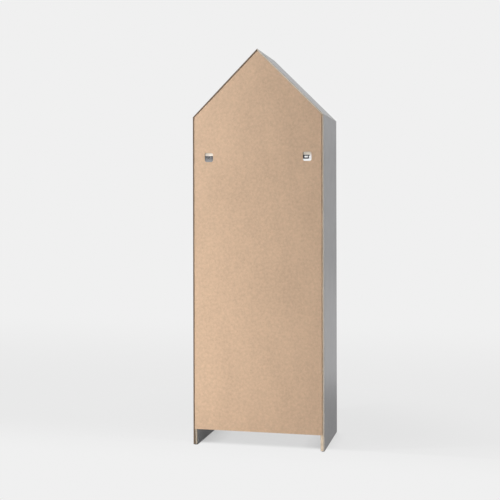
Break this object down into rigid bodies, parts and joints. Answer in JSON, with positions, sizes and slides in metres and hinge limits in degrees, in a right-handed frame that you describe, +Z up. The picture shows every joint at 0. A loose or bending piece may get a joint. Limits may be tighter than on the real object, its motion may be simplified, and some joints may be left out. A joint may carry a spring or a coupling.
{
  "type": "kids open wardrobe",
  "caption": "Tall house-shaped open wardrobe for a child's room: gabled roof, clothes rail, attic shelf and shelves below, thin back panel with cut-outs for wall brackets.",
  "frame": {"origin": "on the floor, at the centre of the footprint", "axes": "+Z up, +X to the right and +Y to the back for someone who faces the open front"},
  "size_m": [0.576, 0.37, 1.7148],
  "materials": {
    "grey_lacquer": "satin cool grey lacquer on fibreboard, bare at the rear edges",
    "hardboard": "bare pale brown hardboard with a fine fibre",
    "zinc_steel": "bright zinc plating",
    "bolt_steel": "plain turned steel",
    "chrome": "polished chrome",
    "beech": "fluted beech dowel",
    "glide_plastic": "matt dark plastic"
  },
  "bodies": {
    "carcass": {"side_panel_left": "grey_lacquer", "side_panel_right": "grey_lacquer", "roof_panel_left": "grey_lacquer", "roof_panel_right": "grey_lacquer", "back_panel": "hardboard", "top_shelf": "grey_lacquer", "middle_shelf": "grey_lacquer", "bottom_shelf": "grey_lacquer", "shelf_pin_left_front": "zinc_steel", "shelf_pin_left_back": "zinc_steel", "shelf_pin_right_front": "zinc_steel", "shelf_pin_right_back": "zinc_steel", "clothes_rail": "chrome", "rail_socket_left": "chrome", "rail_socket_right": "chrome", "rail_screw_left_lower": "zinc_steel", "rail_screw_left_upper": "zinc_steel", "rail_screw_right_lower": "zinc_steel", "rail_screw_right_upper": "zinc_steel", "wall_bracket_left": "zinc_steel", "wall_bracket_right": "zinc_steel", "bracket_screw_left_a": "zinc_steel", "bracket_screw_left_b": "zinc_steel", "bracket_screw_right_a": "zinc_steel", "bracket_screw_right_b": "zinc_steel", "cam_top_left_front": "zinc_steel", "cam_top_left_back": "zinc_steel", "cam_top_right_front": "zinc_steel", "cam_top_right_back": "zinc_steel", "cam_middle_left_front": "zinc_steel", "cam_middle_left_back": "zinc_steel", "cam_middle_right_front": "zinc_steel", "cam_middle_right_back": "zinc_steel", "cam_bottom_left_front": "zinc_steel", "cam_bottom_left_back": "zinc_steel", "cam_bottom_right_front": "zinc_steel", "cam_bottom_right_back": "zinc_steel", "cam_bolt_top_left_front": "bolt_steel", "cam_bolt_top_left_back": "bolt_steel", "cam_bolt_top_right_front": "bolt_steel", "cam_bolt_top_right_back": "bolt_steel", "cam_bolt_middle_left_front": "bolt_steel", "cam_bolt_middle_left_back": "bolt_steel", "cam_bolt_middle_right_front": "bolt_steel", "cam_bolt_middle_right_back": "bolt_steel", "cam_bolt_bottom_left_front": "bolt_steel", "cam_bolt_bottom_left_back": "bolt_steel", "cam_bolt_bottom_right_front": "bolt_steel", "cam_bolt_bottom_right_back": "bolt_steel", "dowel_ridge_front": "beech", "dowel_ridge_back": "beech", "dowel_eave_left_front": "beech", "dowel_eave_left_back": "beech", "dowel_eave_right_front": "beech", "dowel_eave_right_back": "beech", "glide_left_front": "glide_plastic", "glide_left_back": "glide_plastic", "glide_right_front": "glide_plastic", "glide_right_back": "glide_plastic"},
    "adjustable_shelf": {"adjustable_shelf": "grey_lacquer"}
  },
  "joints": [
    {"name": "adjustable_shelf_slide", "type": "slide", "parent": "carcass", "child": "adjustable_shelf", "axis": [0, -1, 0], "range_m": [0, 0.34]}
  ]
}
